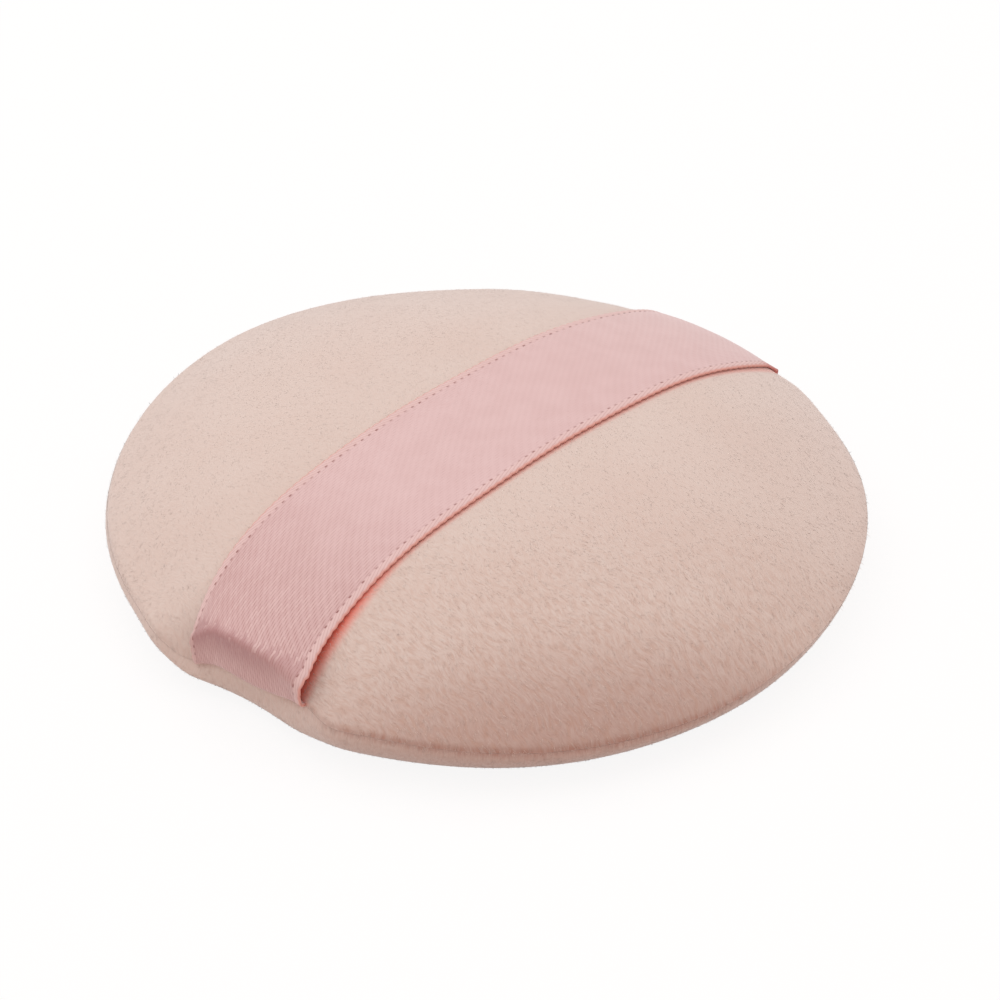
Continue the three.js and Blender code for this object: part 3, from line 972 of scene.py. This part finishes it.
def swing(end, x, y, share):
    """Places on the ribbon: straight along X for a share of 0, swung to the sewn end for a share of 1."""
    cos, sin = math.cos(end.turn), math.sin(end.turn)
    straight = np.stack(np.broadcast_arrays(x, y + RIBBON_OFFSET), axis=-1)
    y = curled(end, y)
    swung = np.stack([x * cos - y * sin, x * sin + y * cos], axis=-1)
    return straight + (swung - straight) * share[..., None]


print("the ends swing by", NEAR_VEER / MM, "and", FAR_VEER / MM, "mm")

# %% [markdown]
# Seen from the side, the ribbon lies on the crown, leaves it before the near rim, folds down and turns
# into the seam. A flat strip bent along one side view would stand off a domed pad at its edges, so each
# lengthwise line of the ribbon gets a side view of its own, laid on the pad just under it. At the near
# fold the middle springs up and the edges droop.

# %% Lengthwise lines of the ribbon
RIBBON_LIFT = 0.12 * MM
SEAM_TURN = 0.7 * MM
TAIL_CAUGHT = 4 * MM
CROWN_STEPS = 60
BRIDGE_STEPS = 40
CORNER_STEPS = 12


def rounded_corner(before, corner, after, size):
    start = corner + (before - corner) * (size / np.linalg.norm(before - corner))
    end = corner + (after - corner) * (size / np.linalg.norm(after - corner))
    share = np.linspace(0, 1, CORNER_STEPS)[:, None]
    return start * (1 - share) ** 2 + corner * 2 * share * (1 - share) + end * share**2


def half_line(end, y):
    """Points from the middle of the crown to the end inside the seam, y away from the ribbon's middle."""
    beside = curled(end, y)
    rim = math.sqrt(RIM_RADIUS**2 - beside**2) * end.outward + beside * end.sideways
    rim = draw_in(rim + np.array([0, 0, SEAM_Z]))
    reach = rim @ end.outward + RIBBON_LIFT
    rounding = end.fold + end.right_round * (min(y, 0) / (RIBBON_WIDTH / 2)) ** 2
    swung_from = reach - end.inset - rounding
    out = np.linspace(0, reach - end.inset - end.bridge, CROWN_STEPS)
    places = swing(end, end.side * out, y, (out / swung_from) ** VEER_POWER)
    crown = np.stack([out, pad_height(places[:, 0], places[:, 1]) + RIBBON_LIFT], axis=1)
    steep = (crown[-1] - crown[-3]) / (crown[-1, 0] - crown[-3, 0])
    droop = (end.left_droop if y > 0 else end.right_droop) * (y / (RIBBON_WIDTH / 2)) ** 2 - end.spring
    share = np.linspace(0, 1, BRIDGE_STEPS)[1:, None]
    bridge = crown[-1] + steep * end.bridge * share - np.array([0, droop]) * share**2
    fold = bridge[-1]
    bridge = bridge[np.linalg.norm(bridge - fold, axis=1) > rounding]
    seam = np.array([reach, rim[2]])
    caught = seam - (TAIL_CAUGHT, 0)
    flat = np.concatenate([crown, bridge])
    tail = np.concatenate([
        rounded_corner(flat[-1], fold, seam, rounding),
        rounded_corner(fold, seam, caught, SEAM_TURN),
        [caught],
    ])
    line = np.concatenate([flat, tail])
    share = np.concatenate([np.minimum(flat[:, 0] / swung_from, 1) ** VEER_POWER, np.ones(len(tail))])
    return np.column_stack([swing(end, end.side * line[:, 0], y, share), line[:, 1]])


def whole_line(y):
    return np.concatenate([half_line(NEAR_END, y)[:0:-1], half_line(FAR_END, y)])


RIBBON_LENGTH = np.linalg.norm(np.diff(whole_line(0.0), axis=0), axis=1).sum()
print("ribbon length in mm:", round(RIBBON_LENGTH / MM, 1))

# %% [markdown]
# Satin shines because most of its face is warp: long threads that lie side by side and dip under a weft
# only now and then. A tiled picture would repeat, so the finish draws those threads from two coordinates
# in millimetres, across and along the ribbon, with a chance value for each thread's float between two
# dips. The gaps between threads get painted shade, and the same sum gives the relief. The selvages are
# the firm edges in which the weft turns back: slanted threads, with a row of small holes where they meet
# the satin.

# %% Threads of the ribbon
WARP_PITCH = 0.3
FLOAT_LENGTH = 1.2
LANE_SHIFT = 0.618
SELVAGE_SLANT = 3.2
SELVAGE_WIDTH = 0.9 * MM
KNOB_PITCH = 1.05 * MM
HALF_WIDTH = RIBBON_WIDTH / 2 / MM


def warp_threads(across, along):
    """Painted shade in dashes between warp threads, a chance value for each float, and the crest of each
    thread.
    """
    thread = across / WARP_PITCH
    lane = thread.math("FLOOR", thread)
    inside = (thread - lane) * 2 - 1
    drift = along / FLOAT_LENGTH + lane * LANE_SHIFT
    place = drift.math("FRACT", drift)
    dash = place.between(0.1, 0.4) * (1 - place.between(0.6, 0.9))
    spot = drift.node("ShaderNodeCombineXYZ", values={0: lane, 1: drift - place})
    chance = drift.node("ShaderNodeTexWhiteNoise", {"noise_dimensions": "2D"}, {"Vector": spot})
    return (inside * inside) ** 2 * dash, chance, 1 - inside * inside


def selvage_stitches(beside, along):
    """Slanted threads of the selvage, its row of small holes, and where it lies."""
    line = HALF_WIDTH - SELVAGE_WIDTH / MM
    pick = along / (KNOB_PITCH / MM)
    slant = pick + (beside - line) * SELVAGE_SLANT
    thread = slant.math("FRACT", slant)
    bars = thread.between(0.0, 0.2) * (1 - thread.between(0.2, 0.45))
    number = pick.math("FLOOR", pick)
    uneven = pick.node("ShaderNodeTexWhiteNoise", {"noise_dimensions": "1D"}, {"W": number})
    hole = pick - number
    from_line = (beside - line).math("ABSOLUTE", beside - line)
    eyelet = (1 - from_line.between(0.03, 0.16)) * (1 - hole.between(0.2, 0.5)) * (0.3 + uneven * 0.7)
    return bars, eyelet, beside.between(line - 0.04, line + 0.04)


print("warp threads across the ribbon:", round(2 * HALF_WIDTH / WARP_PITCH))

# %% [markdown]
# The colours go over the threads. Towards the near end the gaps between threads show more, the satin
# turns darker, and some floats get painted highlights. Painted shade in mauve, with a ragged border,
# lies on the part turned down at the fold. The very edges are coral, a painted glow of light through
# the thin cloth, and painted shade makes the right edge rosy at the far fold. They could be painted on a
# picture, but a smooth step across or along the ribbon stays sharp from any distance and can be moved
# by one number.

# %% Finish of the satin
FOLD_SHADE_START = 4.5
FOLD_SHADE_END = 9.8
NEAR_END_LENGTH = 26
FAR_FOLD = RIBBON_LENGTH / MM - 12
SATIN_PINK = srgb(226, 191, 189)
SATIN_DEEP = srgb(176, 118, 112)
# A painted highlight.
SATIN_HIGHLIGHT = srgb(248, 222, 216)
# Painted shade for the part turned down at the near fold.
SATIN_FOLD_SHADE = srgb(176, 124, 124)
SELVAGE_PINK = srgb(230, 196, 192)
# A painted glow of light through the thin edges.
EDGE_GLOW_CORAL = srgb(228, 142, 120)
# Painted shade at the right edge of the far fold.
FAR_FOLD_SHADE = srgb(202, 112, 106)
EYELET_BROWN = srgb(150, 92, 86)


def satin():
    material, shader, place = new_finish("satin", Sheen_Weight=0.15, Specular_IOR_Level=0.4)
    both = place.node("ShaderNodeUVMap", {"uv_map": "weave"})
    across, along, _ = both.parts()
    gap, chance, crest = warp_threads(across, along)
    beside = across.math("ABSOLUTE", across)
    bars, eyelet, selvage = selvage_stitches(beside, along)
    cloud = both.noise(0.35, 2.0)
    # Painted shade on the part turned down at the near fold, with a ragged border, deeper at the left.
    border = (along + chance * 1.4).between(FOLD_SHADE_END - 0.5, FOLD_SHADE_END + 1)
    fold_shade = along.between(FOLD_SHADE_START, FOLD_SHADE_END - 1) * (1 - border)
    fold_shade = fold_shade * (0.45 + across.between(1 - HALF_WIDTH, 1.0) * 0.55) * (0.65 + chance * 0.35)
    near = 1 - along.between(FOLD_SHADE_END, FOLD_SHADE_END + NEAR_END_LENGTH)
    # Darker towards the near end.
    darkening = near * 0.3 + cloud.between(0.3, 0.7) * 0.08
    # Painted shade in the gaps between threads.
    body = (gap * (0.3 + near * 0.6) + darkening).tint(SATIN_PINK, SATIN_DEEP)
    # Painted highlights on the crests of some floats towards the near end.
    body = (chance.between(0.4, 1.0) * crest * near * 0.2).tint(body, SATIN_HIGHLIGHT)
    body = (fold_shade * (1 - gap * 0.4)).tint(body, SATIN_FOLD_SHADE)
    # The selvages take some of the painted shade of the fold too.
    edge = (bars * 0.3 + cloud * 0.1 + fold_shade * 0.3).tint(SELVAGE_PINK, SATIN_DEEP)
    # A painted glow of light through the thin edges.
    outermost = beside.between(HALF_WIDTH - 0.3, HALF_WIDTH - 0.05)
    cloth = (outermost * 0.6).tint(selvage.tint(body, edge), EDGE_GLOW_CORAL)
    # Painted shade on the right edge at the far fold.
    right_edge = (across * -1).between(HALF_WIDTH - 1.2, HALF_WIDTH - 0.5)
    far_fold_shade = right_edge * along.between(FAR_FOLD, FAR_FOLD + 4)
    cloth = (far_fold_shade * 0.7).tint(cloth, FAR_FOLD_SHADE)
    feed(shader, "Base Color", eyelet.tint(cloth, EYELET_BROWN))
    feed(shader, "Roughness", 0.42 + gap * 0.2 + selvage * 0.15)
    emboss(shader, (1 - gap) * (1 - selvage) + selvage * (1.2 - bars * 0.5) - eyelet, 0.5, 0.06 * MM)
    return material


ribbon_satin = satin()
print("nodes in the satin:", len(ribbon_satin.node_tree.nodes))

# %% [markdown]
# The selvages are a little thicker than the satin, and knobbly where each weft turns back. So the columns
# of the ribbon's mesh crowd at the edges, where there is something to show, and are wide apart in the
# body. The ribbon is a closed band with an upper and an under side, and a layer of coordinates carries
# the weave.

# %% Satin ribbon
RIBBON_STEP = 0.15 * MM
BODY_COLUMNS = 25
SATIN_THICKNESS = 0.30 * MM
SELVAGE_THICKNESS = 0.38 * MM
SELVAGE_SLOPE = 0.2 * MM
KNOB_RISE = 0.12 * MM
KNOB_REACH = 0.6 * MM
KNOB_MEAN = 0.64
EDGE_ROUNDING = 0.25 * MM
EDGE_LEAST = 0.08


def ribbon_columns():
    """Places across the ribbon, from edge to edge."""
    edge = RIBBON_WIDTH / 2 - np.array([0, 0.08, 0.25, 0.5, 0.75, 0.92, 1.0, 1.1, 1.2, 1.3]) * MM
    body = np.linspace(-1, 1, BODY_COLUMNS + 2)[1:-1] * edge[-1]
    return np.concatenate([-edge, body, edge[::-1]])


def band_faces(rows, columns):
    """Faces of a closed band, whose under side follows its upper side in the list of points."""
    top = np.arange(rows * columns).reshape(rows, columns)
    under = top + rows * columns
    faces = [np.stack([top[:-1, :-1], top[1:, :-1], top[1:, 1:], top[:-1, 1:]], axis=-1)]
    faces.append(np.stack([under[:-1, :-1], under[:-1, 1:], under[1:, 1:], under[1:, :-1]], axis=-1))
    for column, flip in ((0, 1), (-1, -1)):
        wall = [top[:-1, column], under[:-1, column], under[1:, column], top[1:, column]]
        faces.append(np.stack(wall[::flip], axis=-1))
    for row, flip in ((0, -1), (-1, 1)):
        wall = [top[row, :-1], under[row, :-1], under[row, 1:], top[row, 1:]]
        faces.append(np.stack(wall[::flip], axis=-1))
    return np.concatenate([face.reshape(-1, 4) for face in faces])


def ribbon_piece(name, materials):
    across = ribbon_columns()
    rows = int(RIBBON_LENGTH / RIBBON_STEP)
    along = np.linspace(0, RIBBON_LENGTH, rows)
    middle = np.stack([even_steps(whole_line(y), rows) for y in across], axis=1)
    from_edge = RIBBON_WIDTH / 2 - np.abs(across)
    knobs = KNOB_RISE * (np.abs(np.sin(math.pi * along / KNOB_PITCH)) - KNOB_MEAN)
    outward = np.sign(across) * np.clip(1 - from_edge / KNOB_REACH, 0, 1)
    middle[..., 1] += knobs[:, None] * outward
    normals = unit(np.cross(np.gradient(middle, axis=0), np.gradient(middle, axis=1)))
    selvage = np.clip((SELVAGE_WIDTH - from_edge) / SELVAGE_SLOPE, 0, 1)
    rounding = np.sqrt(np.clip(from_edge / EDGE_ROUNDING, EDGE_LEAST, 1))
    thickness = (SATIN_THICKNESS + (SELVAGE_THICKNESS - SATIN_THICKNESS) * selvage) * rounding
    shift = normals * (thickness / 2)[None, :, None]
    points = np.concatenate([(middle + shift).reshape(-1, 3), (middle - shift).reshape(-1, 3)])
    piece = mesh_piece(name, points.tolist(), band_faces(*middle.shape[:2]).tolist(), materials)
    weave = np.stack(np.broadcast_arrays(across / MM, (along / MM)[:, None]), axis=-1).reshape(-1, 2)
    layer = piece.data.uv_layers.new(name="weave")
    corners = np.zeros(len(piece.data.loops), np.int32)
    piece.data.loops.foreach_get("vertex_index", corners)
    layer.data.foreach_set("uv", np.concatenate([weave, weave])[corners].astype(np.float32).ravel())
    return piece


ribbon = ribbon_piece("satin_ribbon", [ribbon_satin])
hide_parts("ribbon_band", "ribbon_tail_near", "ribbon_tail_far")
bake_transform(ribbon)
print("ribbon faces:", len(ribbon.data.polygons))

# %% [markdown]
# The foam disc can't be seen on a finished puff, but it is a piece of its own and shows when the puff is
# taken apart. Open-cell foam is all pores. Real holes would need millions of faces, so its skin is pitted
# in the mesh and has round cells in its finish, with painted shade in them.

# %% Foam disc
FOAM_EDGE = 2 * MM
FOAM_CROWN_RINGS = 48
FOAM_CORNER_RINGS = 12
FOAM_BASE_RINGS = 32
PORE_DEPTH = 0.12 * MM
PORE_SIZE = 1.6 * MM
FOAM_CREAM = srgb(246, 236, 212)
# An ochre for the foam's uneven tone and for painted shade in its pores.
FOAM_OCHRE_AND_PORE_SHADE = srgb(206, 180, 138)
foam_low, foam_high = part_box("foam_core")


def foam_finish():
    material, shader, place = new_finish("open_cell_foam", Roughness=0.9)
    cells = place.node("ShaderNodeTexVoronoi", values={"Vector": place, "Scale": 1100.0})
    # Painted shade in the pores; the soft noise over it is the foam's own uneven tone.
    shaded_pores = 1 - cells.between(0.1, 0.45)
    shade = shaded_pores * 0.7 + place.noise(60.0, 3.0) * 0.3
    feed(shader, "Base Color", shade.tint(FOAM_CREAM, FOAM_OCHRE_AND_PORE_SHADE))
    emboss(shader, 1 - shaded_pores, 1.0, 0.3 * MM)
    return material


def foam_piece():
    radius = foam_high.y
    drop = CROWN_Z - foam_high.z
    out = np.linspace(0, radius, FOAM_CROWN_RINGS)[1:]
    share = np.minimum(out / RIM_RADIUS, 1) ** CROWN_POWER
    crown = np.stack([out, crown_height(share) - drop], axis=1)
    angle = np.linspace(0, -math.pi / 2, FOAM_CORNER_RINGS)
    corner = np.stack([
        radius - FOAM_EDGE + FOAM_EDGE * np.cos(angle),
        foam_low.z + FOAM_EDGE + FOAM_EDGE * np.sin(angle),
    ], axis=1)
    inward = np.linspace(radius - FOAM_EDGE, 0, FOAM_BASE_RINGS)[1:-1]
    base = np.stack([inward, np.full(len(inward), foam_low.z)], axis=1)
    rings = draw_in(turned(np.concatenate([crown, corner, base]), COLUMNS))
    pits = PORE_DEPTH * np.abs(soft_noise(rings, PORE_SIZE, 41))
    middle = np.array([0, 0, (foam_low.z + foam_high.z) / 2])
    rings = rings - unit(rings - middle) * pits[..., None]
    poles = (0, 0, foam_high.z), (0, 0, foam_low.z)
    return shell_piece("foam_disc", rings, *poles, 1, [foam_finish()])


foam = foam_piece()
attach(foam, "pad")
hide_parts("foam_core")
print("foam faces:", len(foam.data.polygons))

# %% [markdown]
# Sewing thread is two or three plies twisted together. The two threads of the seam are right as solids,
# so they stay and get a finish. Plies could be coiled as meshes, but nobody could tell at this size: the
# angle round the puff gives the way along a thread, and slanted bands of painted shade and painted light
# over it give the twist.

# %% Threads of the seam
TWISTS = 420
TWIST_SLANT = 0.1 * MM
THREAD_GROOVE_SHADE = srgb(196, 160, 146)
THREAD_CREST_LIGHT = srgb(232, 210, 200)


def thread_finish():
    material, shader, place = new_finish("sewing_thread", Roughness=0.6, Sheen_Weight=0.3)
    x, y, z = place.parts()
    twist = y.math("ARCTAN2", y, x) * TWISTS + z / TWIST_SLANT
    ply = twist.math("SINE", twist) * 0.5 + 0.5
    # Painted shade between the plies and painted light on their crests.
    feed(shader, "Base Color", ply.tint(THREAD_GROOVE_SHADE, THREAD_CREST_LIGHT))
    emboss(shader, ply, 0.6, 0.05 * MM)
    return material


thread = thread_finish()
for node in ("seam_needle_thread", "seam_bobbin_thread"):
    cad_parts[node].data.materials.clear()
    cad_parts[node].data.materials.append(thread)
    print("thread finish on", node)

# %% [markdown]
# The closing stitch is sewn by hand in a ladder: it crosses the seam, runs on inside the fold and crosses
# back. Its tube could be built ring by ring, but a curve with a round bevel draws it from one point for
# each turn of the needle.

# %% Closing stitch
STITCH_LENGTH = 2.4 * MM
STITCH_RISE = 0.5 * MM
STITCH_SINK = 0.45 * MM
STITCH_DEPTH = 1.2 * MM
STITCH_THICKNESS = 0.22 * MM


def ladder_stitch(name, material):
    low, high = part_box("closing_stitch_thread")
    start = math.atan2(low.y, high.x)
    count = int((math.pi - 2 * start) * RIM_RADIUS / STITCH_LENGTH)
    points = []
    for number, angle in enumerate(np.linspace(start, math.pi - start, count)):
        rise = STITCH_RISE if number % 2 else -STITCH_RISE
        for depth, height in ((STITCH_DEPTH, -rise), (0, -rise), (0, rise), (STITCH_DEPTH, rise)):
            radius = RIM_RADIUS - SEAM_GROOVE - STITCH_SINK - depth
            points.append((radius * math.cos(angle), radius * math.sin(angle), SEAM_Z + height))
    curve = bpy.data.curves.new(name, "CURVE")
    curve.dimensions = "3D"
    curve.bevel_depth = STITCH_THICKNESS / 2
    curve.use_fill_caps = True
    spline = curve.splines.new("NURBS")
    spline.points.add(len(points) - 1)
    for point, place in zip(spline.points, draw_in(points)):
        point.co = (*place, 1)
    spline.order_u = 3
    spline.use_endpoint_u = True
    curve.materials.append(material)
    return add_object(name, curve)


stitch = ladder_stitch("closing_ladder_stitch", thread)
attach(stitch, "pad")
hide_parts("closing_stitch_thread")
print("closing stitch:", len(stitch.data.splines[0].points) // 4, "rungs")

# %% [markdown]
# The puff stands on a plain pale sheet. Stronger lamps would make the sheet white, but they would wash
# out the velour too. So the sheet glows for the rays that come straight from the camera, and keeps a part
# of its real reflection, in which the puff leaves a soft shadow.

# %% Floor
FLOOR_HALF = 1.5
FLOOR_PALE = (0.78, 0.7, 0.67, 1)
FLOOR_GLOW = 1.05
GLOW_SHARE = 0.85
WHITE = (1, 1, 1, 1)


def seen_directly(wire):
    """1 for rays from the camera, and for those that a gloss or a clear piece passes on."""
    kinds = ("Is Camera Ray", "Is Glossy Ray", "Is Transmission Ray")
    camera_ray, glossy_ray, clear_ray = (wire.node("ShaderNodeLightPath", output=kind) for kind in kinds)
    either = wire.math("MAXIMUM", camera_ray, glossy_ray)
    return wire.math("MAXIMUM", either, clear_ray)


def add_floor():
    corners = [(x * FLOOR_HALF, y * FLOOR_HALF, 0) for x, y in ((-1, -1), (1, -1), (1, 1), (-1, 1))]
    material, shader, place = new_finish("white_floor", Roughness=0.9, Base_Color=FLOOR_PALE)
    tree = material.node_tree
    glow = place.node("ShaderNodeEmission", values={"Color": WHITE, "Strength": FLOOR_GLOW})
    shares = {0: seen_directly(place) * GLOW_SHARE, 1: Wire(tree, shader.outputs[0]), 2: glow}
    mixed = place.node("ShaderNodeMixShader", values=shares)
    tree.links.new(mixed.socket, tree.nodes["Material Output"].inputs["Surface"])
    return mesh_piece("floor", corners, [(0, 1, 2, 3)], [material])


floor = add_floor()
print("floor in metres:", [round(side, 1) for side in floor.dimensions])

# %% [markdown]
# Most of the light comes evenly from the world, as under a white tent, which gives soft cloth its soft
# shading. Many lamps could do that, but the world is one value. One broad lamp overhead, a little behind
# the puff, leaves the near side in shade. The camera sees the world as white, and the puff is lit by a
# dimmer, warmer one.

# %% World and lamp
WORLD_STRENGTH = 0.66
WORLD_WARM = (1, 0.885, 0.845, 1)
LAMP_PLACE = Vector((-0.02, 0.12, 0.53))
LAMP_SIZE = 0.9
LAMP_POWER = 2.0
LAMP_COOL = (0.88, 0.97, 1.0)


def add_world():
    world = bpy.data.worlds.new("studio")
    world.use_nodes = True
    background = world.node_tree.nodes["Background"]
    seen = seen_directly(Wire(world.node_tree, background.outputs[0]))
    feed(background, "Strength", WORLD_STRENGTH + seen * (1 - WORLD_STRENGTH))
    feed(background, "Color", seen.tint(WORLD_WARM, WHITE))
    bpy.context.scene.world = world


def add_lamp(name):
    lamp = bpy.data.lights.new(name, "AREA")
    lamp.shape = "DISK"
    lamp.size = LAMP_SIZE
    lamp.energy = LAMP_POWER
    lamp.color = LAMP_COOL
    holder = add_object(name, lamp)
    holder.location = LAMP_PLACE
    holder.rotation_euler = (-LAMP_PLACE).to_track_quat("-Z", "Y").to_euler()


add_world()
add_lamp("overhead")
bpy.context.scene.view_settings.view_transform = "Standard"
print("lamp:", LAMP_POWER, "W at", round(LAMP_PLACE.length, 2), "m")
